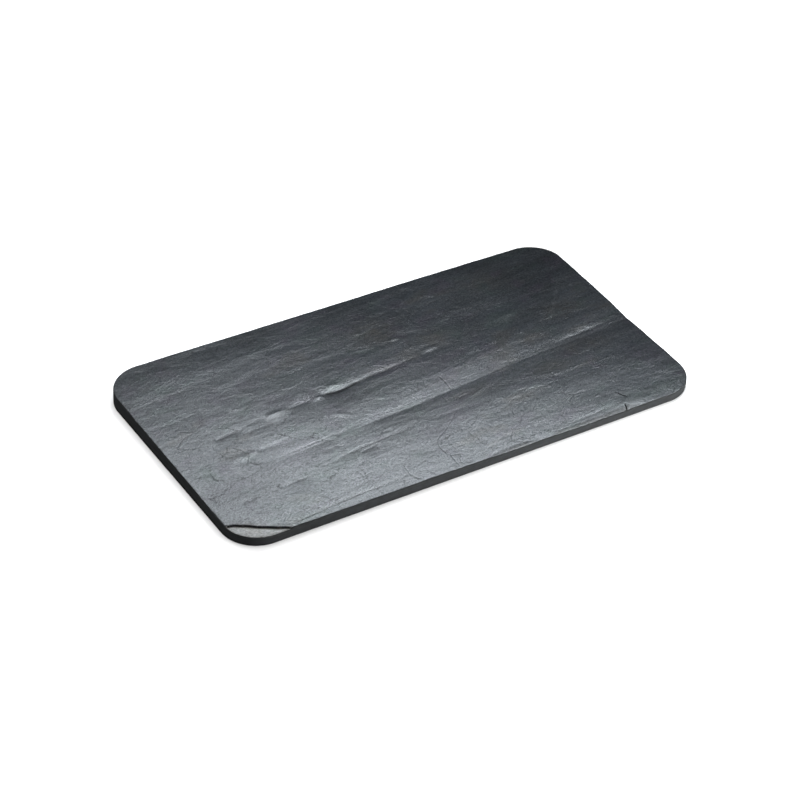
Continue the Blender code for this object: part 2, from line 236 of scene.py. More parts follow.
def lowered(creases, x, y):
    """How far all the creases together lower the face."""
    total = np.zeros(x.shape)
    for crease in creases:
        if crease.front is None:
            reached = np.full(x.shape, True)
        else:
            reached = near(crease.path, x, y, max(crease.back, FADES_OUT * crease.front))
        total[reached] += dip(crease, x[reached], y[reached])
    return total


# The long fold that runs out through the right-hand end, and three thin shelves just behind it
LONG_FOLD = Crease(
    [(-128, -35.5, 0.0, 0.0), (-100, -31.5, 0.05, 0.0), (-80, -29.2, 0.12, 0.0),
     (-65, -27.8, 0.25, 0.0), (-57, -26.9, 0.34, 0.02), (-50, -26.3, 0.42, 0.05),
     (-40, -25.4, 0.5, 0.1), (-25, -24.2, 0.62, 0.16), (-10, -23.2, 0.76, 0.14),
     (5, -21.9, 0.88, 0.1), (20, -20.7, 1.0, 0.07), (35, -19.6, 1.12, 0.03),
     (50, -18.0, 1.28, 0.0), (60, -16.6, 1.4, 0.0), (75, -15.3, 1.42, 0.0),
     (90, -14.5, 1.35, 0.0), (105, -13.3, 1.15, 0.0), (115, -12.8, 1.0, 0.03),
     (125, -12.1, 0.95, 0.05), (138, -11.2, 0.95, 0.03), (150, -10.1, 1.0, 0.0),
     (163, -8.3, 1.0, 0.0), (185, -6.0, 1.0, 0.0)],
    back=17.0, front=18.0, lip=0.4, rubbed=0.2, bend=1.15, seed=1.0,
)
FOLD_SHELVES = [
    Crease([(-106, -30.4, 0.0, 0.0), (-101, -29.7, 0.0, 0.09), (-90, -28.5, 0.0, 0.11),
            (-80, -27.5, 0.0, 0.11), (-70, -26.5, 0.0, 0.11), (-62, -25.8, 0.0, 0.08),
            (-50, -23.6, 0.0, 0.04), (-40, -20.8, 0.0, 0.05), (-25, -20.6, 0.0, 0.05),
            (-10, -20.2, 0.0, 0.05), (5, -18.4, 0.0, 0.06), (14, -18.0, 0.0, 0.0)],
           5.0, 6.0, 0.5, 0.6, 0.6, seed=3.0),
    Crease([(-102, -31.9, 0.0, 0.0), (-98, -31.5, 0.0, 0.08), (-90, -31.0, 0.0, 0.1),
            (-80, -29.8, 0.0, 0.1), (-70, -28.9, 0.0, 0.1), (-62, -28.2, 0.0, 0.0)],
           5.0, 6.0, 0.5, 0.6, 0.6, seed=3.0),
    Crease([(98, -11.0, 0.0, 0.0), (106, -10.1, 0.14, 0.06), (112, -9.2, 0.3, 0.12),
            (120, -8.2, 0.36, 0.16), (128, -7.3, 0.36, 0.16), (136, -6.8, 0.3, 0.12),
            (144, -6.2, 0.26, 0.06), (152, -5.3, 0.14, 0.03), (160, -4.6, 0.0, 0.0)],
           7.0, 8.0, 0.6, seed=4.0),
]
# The broken ledge across the left half, deepest near its middle
BROKEN_LEDGE = Crease(
    [(-131, 1.9, 0.0, 0.0), (-128, 2.3, 0.02, 0.14), (-121, 3.1, 0.03, 0.34),
     (-114, 4.0, 0.04, 0.18), (-107, 5.4, 0.04, 0.03), (-99, 7.6, 0.04, 0.13),
     (-94, 7.6, 0.04, 0.12), (-90, 8.3, 0.04, 0.0), (-85, 8.8, 0.04, 0.0),
     (-79, 8.9, 0.05, 0.0), (-75, 8.9, 0.08, 0.08), (-70, 9.4, 0.12, 0.18),
     (-63, 10.2, 0.16, 0.22), (-57, 10.8, 0.2, 0.08), (-52, 11.2, 0.25, 0.1),
     (-48, 10.9, 0.3, 0.5), (-43, 10.3, 0.34, 0.85), (-38, 10.4, 0.38, 0.9),
     (-33, 11.2, 0.4, 0.78), (-28, 12.2, 0.38, 0.6), (-22, 13.2, 0.35, 0.45),
     (-17, 14.1, 0.33, 0.42), (-12, 14.9, 0.3, 0.4), (-7, 15.3, 0.28, 0.33),
     (-2, 15.7, 0.26, 0.25), (4, 16.3, 0.22, 0.18), (10, 16.9, 0.18, 0.13),
     (15, 17.6, 0.14, 0.1), (22, 18.0, 0.1, 0.03), (28, 18.2, 0.08, 0.15),
     (34, 19.0, 0.06, 0.1), (40, 20.0, 0.03, 0.05), (46, 21.0, 0.0, 0.0)],
    back=13.0, front=13.0, riser=1.0, rubbed=0.2, seed=2.0,
)
# Low crest in front of the broken ledge, and the short ripples nearer the front edge
RIPPLES = [
    Crease([(-112, -18.5, 0.0, 0.0), (-109, -18, 0.04, 0.1), (-105, -17.5, 0.04, 0.08),
            (-76, -15, 0.0, 0.0)], 6.0, 9.0, seed=5.0),
    Crease([(-146, -55, 0.0, 0.0), (-142, -56, 0.04, 0.1), (-135, -55.5, 0.06, 0.12),
            (-126, -54.5, 0.0, 0.0)], 8.0, 7.0, 0.6, seed=6.0),
    Crease([(-117, -54.5, 0.0, 0.0), (-112, -54, 0.05, 0.1), (-102, -53, 0.07, 0.12),
            (-92, -53.5, 0.0, 0.0)], 8.0, 7.0, 0.6, seed=7.0),
    Crease([(-82, -48, 0.0, 0.0), (-70, -46, 0.06, 0.12), (-60, -44.8, 0.07, 0.18),
            (-50, -43.6, 0.06, 0.16), (-29, -41.5, 0.05, 0.14), (-20, -41, 0.04, 0.0),
            (0, -39.6, 0.02, 0.05), (13, -39, 0.02, 0.04), (40, -37, 0.0, 0.0)],
           8.0, 10.0, 0.5, 0.8, 0.2, seed=8.0),
    Crease([(-59, -47.2, 0.0, 0.0), (-57, -47.1, 0.0, 0.14), (-47, -45.6, 0.0, 0.14),
            (-44, -45.2, 0.0, 0.0)], 4.0, 3.0, 0.5, seed=9.0),
]
# Faint corrugations at the back left
CORRUGATIONS = [
    Crease([(-175, 47, 0.06, 0.0), (-130, 53, 0.1, 0.02), (-85, 57, 0.1, 0.0),
            (0, 66, 0.0, 0.0)], 12.0, 8.0, seed=10.0),
    Crease([(-175, 36, 0.1, 0.0), (-110, 41, 0.12, 0.0), (-40, 48, 0.1, 0.0),
            (10, 53, 0.0, 0.0)], 14.0, 9.0, seed=11.0),
    Crease([(-175, 24, 0.06, 0.0), (-120, 29, 0.06, 0.0), (-70, 34, 0.0, 0.0)],
           12.0, 9.0, seed=12.0),
]
# Edges of thin flakes lost from the back right, some facing the back and some the front
FLAKES = [
    Crease([(145, 58, 0.0, 0.0), (130, 55, 0.0, 0.11), (105, 47, 0.02, 0.12),
            (86, 42, 0.02, 0.15), (80, 39.5, 0.02, 0.18), (75, 37, 0.02, 0.18),
            (70, 39, 0.02, 0.18), (60, 43, 0.02, 0.18), (52, 46, 0.02, 0.18),
            (45, 46.3, 0.0, 0.15), (36, 46, 0.0, 0.0)], 3.0, 4.0, 0.6, 0.3, seed=13.0),
    Crease([(112, 6, 0.0, 0.0), (115, 10, 0.0, 0.09), (125, 20, 0.0, 0.12),
            (140, 38, 0.0, 0.09), (146, 44, 0.0, 0.0)], 3.0, 5.0, 0.6, seed=14.0),
    Crease([(18, 90, 0.0, 0.03), (26, 76, 0.0, 0.05), (35, 62, 0.02, 0.06),
            (32, 50, 0.0, 0.0)], 3.0, 4.0, 0.6, 0.3, seed=15.0),
    Crease([(54, 90, 0.0, 0.03), (44, 73, 0.0, 0.05), (35, 62, 0.0, 0.04)], 3.0, 4.0, 0.6, 0.3,
           seed=16.0),
]
# Edges of the layers that run out just behind the front edge
EDGE_LAYERS = [
    Crease([(-128, -85.6, 0.0, 0.0), (-125, -85, 0.0, 0.08), (-110, -83.5, 0.0, 0.1),
            (-85, -81, 0.0, 0.1), (-60, -79.5, 0.0, 0.08), (-36, -77.8, 0.0, 0.0)],
           4.0, 4.0, 0.4, seed=19.0),
    Crease([(58, -83, 0.0, 0.0), (72, -81.8, 0.0, 0.08), (90, -80.5, 0.0, 0.08),
            (112, -78.6, 0.0, 0.0)], 4.0, 4.0, 0.4, seed=20.0),
]
# A leaf of stone gone from along the front edge, and one from the front left corner
FRONT_LEAF = Crease(
    [(-14, -93, 0.02, 0.25), (8, -86, 0.02, 0.3), (30, -84.5, 0.03, 0.45),
     (48, -86, 0.02, 0.15), (60, -84.5, 0.02, 0.4), (90, -84, 0.02, 0.4),
     (110, -83, 0.01, 0.25), (124, -88, 0.01, 0.07)],
    back=4.0, front=None, riser=1.3, lip=0.1, rubbed=0.2, seed=17.0,
)
SPALLED_CORNER = Crease(
    [(-172, -67.5, 0.1, 1.1), (-157, -70.8, 0.1, 1.1), (-145, -77.9, 0.1, 1.15),
     (-135, -83.3, 0.1, 1.15), (-122, -92, 0.1, 0.8)],
    back=3.0, front=None, riser=0.4, lip=0.2, seed=18.0,
)
CREASES = [LONG_FOLD, *FOLD_SHELVES, BROKEN_LEDGE, *RIPPLES, *CORRUGATIONS, *FLAKES]
CREASES += EDGE_LAYERS
CREASES += [FRONT_LEAF, SPALLED_CORNER]

# Two short deep nicks near the front right corner: points (x, y)
NICKS = [((109.7, -71.1), (113.2, -76.9)), ((108.1, -82.3), (107.2, -85.0), (105.5, -88.0))]
NICK_HALF_WIDTH = 0.45
NICK_DEPTH = 1.0

# Fine cracks that wander across the grain: points (x, y)
CRACKS = [
    [(10, -43), (0, -51), (-8, -56), (-12, -59), (-15, -65), (-14.5, -72), (-13, -75), (-9, -76),
     (-8, -78), (-10, -80), (-11, -84), (-6, -86)],
    [(-13.5, -75), (-14, -86)],
    [(45, -64), (40, -69), (34, -71), (31, -74), (28, -77), (27.5, -81), (31, -83), (33, -86)],
    [(43, -56), (42, -60)],
    [(-123.3, -10), (-121, -13.3), (-119.5, -16.7), (-118.3, -18.9), (-119, -20.5),
     (-120.5, -22.8), (-121.7, -24.4), (-120.5, -27.8), (-118.3, -29.7), (-115, -29.4)],
    [(-43, -70), (-44, -80), (-41, -86)],
    [(-33, -81), (-31, -86)],
    [(22, -7), (22.5, -12), (22, -20)],
    [(13, -24), (13.5, -28)],
    [(79, -8), (78, -12), (75, -17)],
    [(-143.9, 18.3), (-142, 17.2), (-140, 15.5)],
    [(-138, 13.3), (-144, 11.7), (-150.5, 7.2), (-152.8, 5.5), (-151.7, 3.3), (-147, 1),
     (-144.5, 0), (-141, 0.2)],
    [(-147, -25), (-147, -31), (-143, -34)],
    [(-69.5, -36), (-66, -38)],
]
CRACK_HALF_WIDTH = 0.22
CRACK_DEPTH = 0.05
# Painted shade: the stone's colour is darkened in the cracks and nicks and along the foot of each
# ledge's riser, standing in for the shade there
CRACK_DARK = 0.8  # how dark the middle of a crack is; a nick is dark over more of its width
NICK_DARK = 2.5
DARK_FROM = 0.1  # slope of a ledge at which its foot starts to darken
LEDGE_DARK = 2.0  # and how soon it does past that
DARK_MIDDLE = 0.8  # of the riser's width, from the ledge's line to the darkest place
DARK_REACH = 1.2  # of the riser's width, from there to where it has faded

# Broad swells of the upper face: (x, y, reach along X, reach along Y, height)
SWELLS = [
    (158, -62, 34, 30, 0.55),
    (160, 50, 40, 34, 0.2),
    (60, 88, 30, 18, 0.2),
    (-30, -88, 15, 16, 0.3),
    (60, -30, 70, 26, 0.25),
    (0, -10, 400, 80, 0.3),
    (-162, 88, 26, 30, -0.45),
    (150, 92, 24, 18, -0.45),
    (-160, -62, 24, 16, 0.25),
    (-162, 60, 16, 20, 0.15),
    (-80, 66, 85, 15, 0.36),
]

# Small raised lenses of stone: (x, y, reach along, reach across, height, degrees turned)
LENSES = [
    (-85.5, 7.6, 6.5, 1.9, 0.36, 6),
    (-86, 4.6, 6.0, 3.0, 0.09, 5),
    (-55, 9.7, 4.0, 1.7, 0.28, 8),
    (-40, 15.5, 6.5, 2.5, 0.28, 5),
    (33, 21.0, 5.0, 1.8, 0.22, 8),
    (17.5, 38.8, 3.0, 1.5, 0.3, 15),
    (38, -3.6, 3.0, 1.0, 0.13, 0),
    (-125, -20.2, 6.0, 2.6, 0.26, 8),
    (-115.5, -19.0, 2.8, 1.8, 0.16, 15),
    (-105.5, -16.2, 3.0, 0.9, 0.11, 10),
    (-50, -12.0, 4.5, 1.9, 0.2, -27),
    (95, 28.5, 6.0, 2.4, 0.22, 8),
    (119, 30.5, 5.0, 0.9, 0.13, 8),
    (65, 85.6, 6.0, 1.5, 0.22, 0),
    (72, 50.5, 3.0, 1.4, 0.14, -30),
    (92, 9.3, 5.0, 1.3, 0.14, 20),
    (-30, 44, 7.0, 2.5, 0.13, 5),
    (-100, 46, 9.0, 2.5, 0.08, 6),
    (130, -30, 9.0, 3.0, 0.13, 6),
    (70, -40, 9.0, 3.5, 0.14, 4),
]

# Patches of tinted stone: (x, y, reach along X, reach along Y, strength)
GREEN_PATCHES = [
    (-147, -25, 7, 7, 1.0), (-90, -56, 9, 6, 0.7), (-112, -70, 14, 7, 0.5),
    (-68, -20, 16, 4, 0.6), (-120, -23, 5, 4, 0.6), (-60, 34, 12, 7, 0.4),
    (-120, -84, 16, 4, 0.6), (60, -62, 12, 7, 0.4), (130, -78, 22, 6, 0.8),
    (-36, 18, 9, 4, 0.6),
]
VIOLET_PATCHES = [
    (-138, -25, 6, 6, 0.9), (-60, -18, 5, 5, 0.9), (-140, -42, 14, 6, 0.5),
    (-100, -38, 16, 5, 0.5), (-10, -52, 14, 8, 0.4), (20, 8, 14, 7, 0.4),
    (-60, 50, 18, 8, 0.4), (-143, -78, 7, 4, 0.6), (150, -45, 12, 12, 0.5),
]
BROWN_PATCHES = [
    (10, 50, 14, 12, 0.7), (40, 28, 12, 8, 0.7), (95, 0, 10, 5, 0.6),
    (120, -20, 22, 8, 0.5), (130, 18, 16, 8, 0.5), (100, 66, 18, 9, 0.5),
    (30, -30, 16, 5, 0.5), (90, -30, 14, 7, 0.5), (-150, -78, 6, 5, 0.8),
]
# Where the stone split less cleanly, given in the same way
RUGGED_PATCHES = [(80, 46, 55, 24, 1.0), (130, 18, 26, 14, 0.6)]
# Broad patches that shine less or more than the rest: (x, y, reach x, reach y, how much more)
SHEEN_PATCHES = [
    (-145, -45, 26, 26, -0.24), (-108, -63, 13, 9, -0.26), (-150, 24, 18, 12, -0.16),
    (-140, -10, 22, 8, -0.16), (-28, 58, 34, 10, 0.35), (66, -57, 24, 10, 0.16),
    (-94, -24, 14, 8, 0.12), (8, -38, 22, 6, -0.1), (0, -9, 18, 6, 0.18),
    (60, -9, 40, 6, 0.12), (-146, -78, 12, 6, 0.15), (143, -5, 14, 7, 0.35),
    (143, -76, 14, 8, 0.15), (-140, 72, 20, 10, -0.16),
]

# Uneven splitting: (reach along the grain, reach across it, height, where in the noise)
WAVES = [
    (70.0, 16.0, 0.11, (3.1, 8.4, 0.0)),
    (26.0, 13.0, 0.07, (11.7, 2.9, 4.0)),
    (10.0, 4.0, 0.05, (5.0, 7.0, 9.0)),
    (3.4, 2.2, 0.03, (1.0, 5.0, 2.0)),
]

# Shallow hollows of the underside: one along its middle, and one where it lost a leaf of stone
UNDER_CREASES = [
    Crease([(-120, -46, 0.0, 0.0), (-70, -34, 0.2, 0.25), (0, -24, 0.24, 0.36),
            (60, -30, 0.24, 0.3), (120, -22, 0.0, 0.0)], 16.0, 14.0, 0.6, 0.1),
    Crease([(104, 96, 0.25, 0.25), (60, 66, 0.25, 0.25), (-20, 60, 0.27, 0.27),
            (-90, 64, 0.25, 0.25), (-128, 96, 0.25, 0.25)], 10.0, None, 0.6, 0.1),
]
SETTLE = 0.12  # hollows shallower than this stay in the flat
UNDER_WAVES = 0.3  # how strong the waves are on the underside, as a share of those above
UNDER_SHIFT = 300.0  # and how far along they are taken from, so that they aren't the same


def waves(x, y):
    """The smooth unevenness of a split face, drawn out along the grain."""
    total = np.zeros(x.shape)
    along = x + GRAIN_SLOPE * y
    across = y - GRAIN_SLOPE * x
    for reach_along, reach_across, height, where in WAVES:
        offset = Vector(where)
        places = zip(along / reach_along, across / reach_across)
        total += height * np.array([noise.noise(Vector((a, b, 0.0)) + offset) for a, b in places])
    return total


def lens(x, y, centre_x, centre_y, reach_along, reach_across, height, turned):
    """Height of a small raised lens of stone."""
    cos, sin = math.cos(math.radians(turned)), math.sin(math.radians(turned))
    along = (x - centre_x) * cos + (y - centre_y) * sin
    across = (y - centre_y) * cos - (x - centre_x) * sin
    return height * np.exp(-((along / reach_along) ** 2) - (across / reach_across) ** 2)


def patch(x, y, centre_x, centre_y, reach_x, reach_y, strength):
    """An upright oval patch, at its full strength in the middle and fading outwards."""
    away = ((x - centre_x) / reach_x) ** 2 + ((y - centre_y) / reach_y) ** 2
    return strength * np.exp(-away)


def strongest(patches, x, y):
    """How much each point is in any one of the patches, from 0 to 1."""
    return np.max([patch(x, y, *placed) for placed in patches], axis=0)


def lens_brow(x, y, centre_x, centre_y, reach_along, reach_across, height, turned):
    """How far each point is on the front slope of a lens, 1 where that is steepest."""
    top = lens(x, y, centre_x, centre_y, reach_along, reach_across, 1.0, turned)
    turn = math.radians(turned)
    across = (y - centre_y) * math.cos(turn) - (x - centre_x) * math.sin(turn)
    return np.maximum(-across / reach_across, 0.0) * top * math.sqrt(2 * math.e)


def groove(path, half_width, depth, x, y):
    """How far a V-shaped groove along the path lowers the face."""
    total = np.zeros(x.shape)
    reached = near(path, x, y, half_width)
    side = beside(path, x[reached], y[reached])[0]
    total[reached] = depth * np.maximum(0.0, 1 - np.abs(side) / half_width)
    return total


class Slab:
    """The slab's outline and the heights of its faces, from the sizes chosen."""

    def __init__(self, sizes):
        self.length = sizes.length / MM
        self.width = sizes.width / MM
        self.arris = sizes.arris / MM
        self.under_arris = sizes.under_arris / MM
        self.thickness = sizes.thickness / MM
        self.rise_to_back = sizes.rise_to_back / MM
        self.rise_to_left = sizes.rise_to_left / MM
        right, back = self.length / 2, self.width / 2
        corners = [
            (1, -1, sizes.radius_front_right, -90),
            (1, 1, sizes.radius_back_right, 0),
            (-1, 1, sizes.radius_back_left, 90),
            (-1, -1, sizes.radius_front_left, 180),
        ]
        # Each corner, anticlockwise: centre of its arc, radius and first angle
        self.corners = [
            (along * (right - radius / MM), across * (back - radius / MM), radius / MM, first)
            for along, across, radius, first in corners
        ]
        self.cracks = [wander(smooth_path(crack, LEDGE_STEP), 5.0) for crack in CRACKS]
        self.nicks = [smooth_path(nick, LEDGE_STEP) for nick in NICKS]

    def upper_face(self, x, y):
        """Height of the upper face."""
        z = self.thickness + self.rise_to_back * y / (self.width / 2)
        z = z - self.rise_to_left * x / (self.length / 2) + waves(x, y)
        for placed in SWELLS:
            z += patch(x, y, *placed)
        for placed in LENSES:
            z += lens(x, y, *placed)
        z -= lowered(CREASES, x, y)
        for nick in self.nicks:
            z -= groove(nick, NICK_HALF_WIDTH, NICK_DEPTH, x, y)
        for crack in self.cracks:
            z -= groove(crack, CRACK_HALF_WIDTH, CRACK_DEPTH, x, y)
        return np.minimum(z, HIGH.z / MM)

    def underside(self, x, y):
        """Height of the underside: nought over the flat that the slab rests on."""
        hollows = np.maximum(lowered(UNDER_CREASES, x, y) - SETTLE, 0.0)
        return hollows + UNDER_WAVES * np.abs(waves(x + UNDER_SHIFT, y))

    def upper_marks(self, x, y):
        return {
            "crevice": self.crevice(x, y),
            "rubbed": self.rubbed(x, y),
            "fresh": self.freshness(x, y),
            "green": strongest(GREEN_PATCHES, x, y),
            "violet": strongest(VIOLET_PATCHES, x, y),
            "brown": strongest(BROWN_PATCHES, x, y),
            "rugged": strongest(RUGGED_PATCHES, x, y),
            "sheen": sum(patch(x, y, *placed) for placed in SHEEN_PATCHES),
        }

    def crevice(self, x, y):
        """How much painted shade each point of the upper face gets, in cracks, nicks and at ledges'
        feet, from 0 to 1.
        """
        most = np.zeros(x.shape)
        for path in self.cracks:
            most = np.maximum(most, groove(path, CRACK_HALF_WIDTH, CRACK_DARK, x, y))
        for path in self.nicks:
            most = np.maximum(most, groove(path, NICK_HALF_WIDTH, NICK_DARK, x, y))
        for crease in CREASES:
            reached = near(crease.path, x, y, 3 * crease.riser)
            side, _, drop = beside(crease.path, x[reached], y[reached])
            foot = 1 - np.abs(side + DARK_MIDDLE * crease.riser) / (DARK_REACH * crease.riser)
            foot *= np.clip(LEDGE_DARK * (drop / crease.riser - DARK_FROM), 0.0, 1.0)
            most[reached] = np.maximum(most[reached], foot)
        return np.clip(most, 0.0, 1.0)

    def rubbed(self, x, y):
        """How much each point of the upper face is on a rubbed lip, from 0 to 1."""
        most = np.zeros(x.shape)
        for crease in CREASES:
            reached = near(crease.path, x, y, 3 * LIP_REACH)
            side, _, drop = beside(crease.path, x[reached], y[reached])
            brink = np.where(side > 0, np.exp(-((side / LIP_REACH) ** 2)), 0.0)
            brink *= crease.rubbed * np.clip(drop / RUBBED_FULL, 0.0, 1.0)
            most[reached] = np.maximum(most[reached], brink)
        for placed in LENSES:
            most = np.maximum(most, lens_brow(x, y, *placed) * min(1.0, placed[4] / LENS_FULL))
        return np.clip(most, 0.0, 1.0)

    def freshness(self, x, y):
        """1 where a leaf of stone has gone and the surface is newly broken."""
        total = np.zeros(x.shape)
        for crease in (SPALLED_CORNER, FRONT_LEAF):
            side, sag, drop = beside(crease.path, x, y)
            total += np.where(side < -crease.riser, np.minimum(1.0, sag + drop), 0.0)
        return np.clip(total, 0.0, 1.0)

    def within(self, x, y, margin):
        """Whether a point is inside the rounded oblong by at least the margin."""
        for centre_x, centre_y, radius, _ in self.corners:
            past_x = (x - centre_x) * math.copysign(1, centre_x)
            past_y = (y - centre_y) * math.copysign(1, centre_y)
            if past_x > 0 and past_y > 0:
                return math.hypot(past_x, past_y) < radius - margin
        return abs(x) < self.length / 2 - margin and abs(y) < self.width / 2 - margin

    def outline(self, step):
        """Points round the outline about a step apart, each with its outward normal."""
        ring = []
        for corner, following in zip(self.corners, self.corners[1:] + self.corners[:1]):
            count = max(4, round(math.radians(90) * corner[2] / step))
            ring += [on_arc(corner, 90 * i / count) for i in range(count)]
            start, end = np.array(on_arc(corner, 90)), np.array(on_arc(following, 0))
            count = max(1, round(math.dist(start[:2], end[:2]) / step))
            ring += [tuple(start + (end - start) * i / count) for i in range(count)]
        return np.array(ring)


def on_arc(corner, turned):
    """A point on a corner's arc and its outward normal, as (x, y, normal x, normal y)."""
    centre_x, centre_y, radius, first = corner
    angle = math.radians(first + turned)
    out_x, out_y = math.cos(angle), math.sin(angle)
    return centre_x + radius * out_x, centre_y + radius * out_y, out_x, out_y


# ---------------------------------------------------------------- Mesh

BEVEL = 0.4  # a ledge's slopes turn from one to the next within this distance
ROW_MARGIN = 0.5  # rows of points stop this far inside the rim
JITTER = 0.22  # of a step, so that the points aren't in lines
CLEARANCE = 0.55  # of a step, kept round the ledges' points


class Layout:
    """Points in plan, and edges tied between them, from which a face is triangulated."""

    def __init__(self, slab, rim):
        count = len(rim)
        self.slab = slab
        self.points = [tuple(point) for point in rim]
        self.edges = [(i, (i + 1) % count) for i in range(count)]

    def add_row(self, path, offset):
        """Adds the path's points moved sideways, each tied to the next."""
        run = np.gradient(path[:, :2], axis=0)
        run /= np.linalg.norm(run, axis=1)[:, None]
        last = None
        for (x, y), (run_x, run_y) in zip(path[:, :2], run):
            point = (x - run_y * offset, y + run_x * offset)
            if not self.slab.within(*point, self.slab.arris + ROW_MARGIN):
                last = None
                continue
            self.points.append(point)
            if last is not None:
                self.edges.append((last, len(self.points) - 1))
            last = len(self.points) - 1

    def fill(self, step, seed):
        """Scatters points along the grain, a step apart and clear of those already there."""
        tree = kdtree.KDTree(len(self.points))
        for i, (x, y) in enumerate(self.points):
            tree.insert((x, y, 0.0), i)
        tree.balance()
        chance = random.Random(seed)
        reach_x, reach_y = self.slab.length, self.slab.width
        for row, v in enumerate(np.arange(-reach_y, reach_y, step * math.sqrt(0.75))):
            for u in np.arange(-reach_x, reach_x, step) + step / 2 * (row % 2):
                x = u - GRAIN_SLOPE * v + chance.uniform(-JITTER, JITTER) * step
                y = v + GRAIN_SLOPE * u + chance.uniform(-JITTER, JITTER) * step
                if not self.slab.within(x, y, self.slab.arris + step / 2):
                    continue
                if tree.find((x, y, 0.0))[2] > CLEARANCE * step:
                    self.points.append((x, y))

    def triangulate(self):
        """The face's points in plan, its triangles, and which of its points are the rim's."""
        flat = [Vector(point) for point in self.points]
        points, _, faces, sources, _, _ = delaunay_2d_cdt(flat, self.edges, [], 1, 1e-5)
        place_of = {old: new for new, olds in enumerate(sources) for old in olds}
        return np.array([tuple(point) for point in points]), faces, place_of


RIVEN, GROUND = 0, 1  # the slab's two finishes, by material slot
MARKS = ("crevice", "rubbed", "fresh", "green", "violet", "brown", "rugged", "sheen")


class SlabMesh:
    """The vertices and faces of the slab as they are added, in millimetres."""

    def __init__(self):
        self.points = []
        self.faces = []
        self.finishes = []
        self.marks = {name: [] for name in MARKS}

    def add_points(self, points, marks=None):
        """Adds points, with how far each is marked in each way, and gives the first's index."""
        first = len(self.points)
        self.points += [tuple(point) for point in points]
        for name, values in self.marks.items():
            values += list(marks[name]) if marks else [0.0] * len(points)
        return first

    def add_faces(self, faces, finish):
        self.faces += faces
        self.finishes += [finish] * len(faces)

    def join_rings(self, lower, upper, finish):
        count = len(lower)
        following = [(i + 1) % count for i in range(count)]
        self.add_faces(
            [(lower[i], lower[j], upper[j], upper[i]) for i, j in enumerate(following)], finish
        )


SIDE_ROWS = (0.0, 0.12, 0.35, 0.65, 0.88, 1.0)  # shares of the way up the side
GRIND_DEPTH = 0.06  # how far the grinding strays into the side
GRIND_REACH = 12.0  # and over what length and height
GRIND_HEIGHT = 0.8
ARRIS_RINGS = (0.3, 0.75)  # shares of the way round the eased edge
ARRIS_UNEVEN = 0.5  # how much its width varies
SHARP_FROM = 28.0  # degrees between two faces


def add_split_face(mesh, slab, rim, paths, step, height, upper, seed):
    """Adds a split face inside the rim, and gives the indices of its rim's points in order."""
    layout = Layout(slab, rim)
    for path, offset in paths:
        layout.add_row(path, offset)
    layout.fill(step, seed)
    points, faces, place_of = layout.triangulate()
    x, y = points.T
    marks = slab.upper_marks(x, y) if upper else None
    first = mesh.add_points(np.column_stack([x, y, height(x, y)]), marks)
    turned = faces if upper else [face[::-1] for face in faces]
    mesh.add_faces([tuple(first + i for i in face) for face in turned], RIVEN)
    return [first + place_of[i] for i in range(len(rim))]


def upper_rows(slab):
    """The rows of points that the upper face needs: each is a path and how far beside it."""
    rows = [
        (crease.path, offset) for crease in CREASES
        for offset in (0.0, -crease.riser, BEVEL, -crease.riser - BEVEL)
    ]
    for paths, half_width in ((slab.cracks, CRACK_HALF_WIDTH), (slab.nicks, NICK_HALF_WIDTH)):
        rows += [(path, offset) for path in paths for offset in (0.0, half_width, -half_width)]
    return rows


def under_rows():
    return [
        (crease.path[::2], offset) for crease in UNDER_CREASES for offset in (0.0, -crease.riser)
    ]


def wavering(stations, reach, seed):
    """A slow unevenness round the outline, from -1 to 1 at each of its points."""
    return np.array([noise.noise(Vector((x / reach, y / reach, seed))) for x, y, _, _ in stations])


def grinding(stations, z):
    """How far the side is ground in at each of the outline's points, at the heights given."""
    return GRIND_DEPTH * np.abs([
        noise.noise(Vector((x / GRIND_REACH, y / GRIND_REACH, height / GRIND_HEIGHT)))
        for (x, y, _, _), height in zip(stations, z)
    ])


def add_ring(mesh, stations, inset, z):
    """Adds a ring of points at the given distances inside the outline and at heights z."""
    place = stations[:, :2] - stations[:, 2:] * inset[:, None]
    first = mesh.add_points(np.column_stack([place, z]))
    return list(range(first, first + len(stations)))


def add_arris_ring(mesh, stations, eased, face_z, share, way):
    """Adds a ring part of the way round the eased edge, from the face to the side."""
    angle = math.radians(90) * share
    z = face_z + way * eased * (1 - math.cos(angle))
    return add_ring(mesh, stations, eased * (1 - math.sin(angle)), z)


def slab_mesh(slab, sizes):
    """The two split faces, joined by rings from the underside up round the sides."""
    mesh = SlabMesh()
    stations = slab.outline(sizes.edge_step / MM)
    place, out = stations[:, :2], stations[:, 2:]
    eased = slab.arris * (1 + ARRIS_UNEVEN * wavering(stations, 9.0, 1.0))
    under_eased = slab.under_arris * (1 + ARRIS_UNEVEN * wavering(stations, 7.0, 4.0))
    top = add_split_face(
        mesh, slab, place - out * eased[:, None], upper_rows(slab), sizes.face_step / MM,
        slab.upper_face, upper=True, seed=4,
    )
    under = add_split_face(
        mesh, slab, place - out * under_eased[:, None], under_rows(), sizes.under_step / MM,
        slab.underside, upper=False, seed=9,
    )
    top_z = np.array([mesh.points[i][2] for i in top])
    under_z = np.array([mesh.points[i][2] for i in under])
    low, high = under_z + under_eased, top_z - eased
    rings = [under]
    for share in ARRIS_RINGS:
        rings.append(add_arris_ring(mesh, stations, under_eased, under_z, share, 1))
    for share in SIDE_ROWS:
        z = low + (high - low) * share
        rings.append(add_ring(mesh, stations, grinding(stations, z) * (0 < share < 1), z))
    for share in reversed(ARRIS_RINGS):
        rings.append(add_arris_ring(mesh, stations, eased, top_z, share, -1))
    rings.append(top)
    for lower, upper in zip(rings, rings[1:]):
        mesh.join_rings(lower, upper, GROUND)
    return mesh


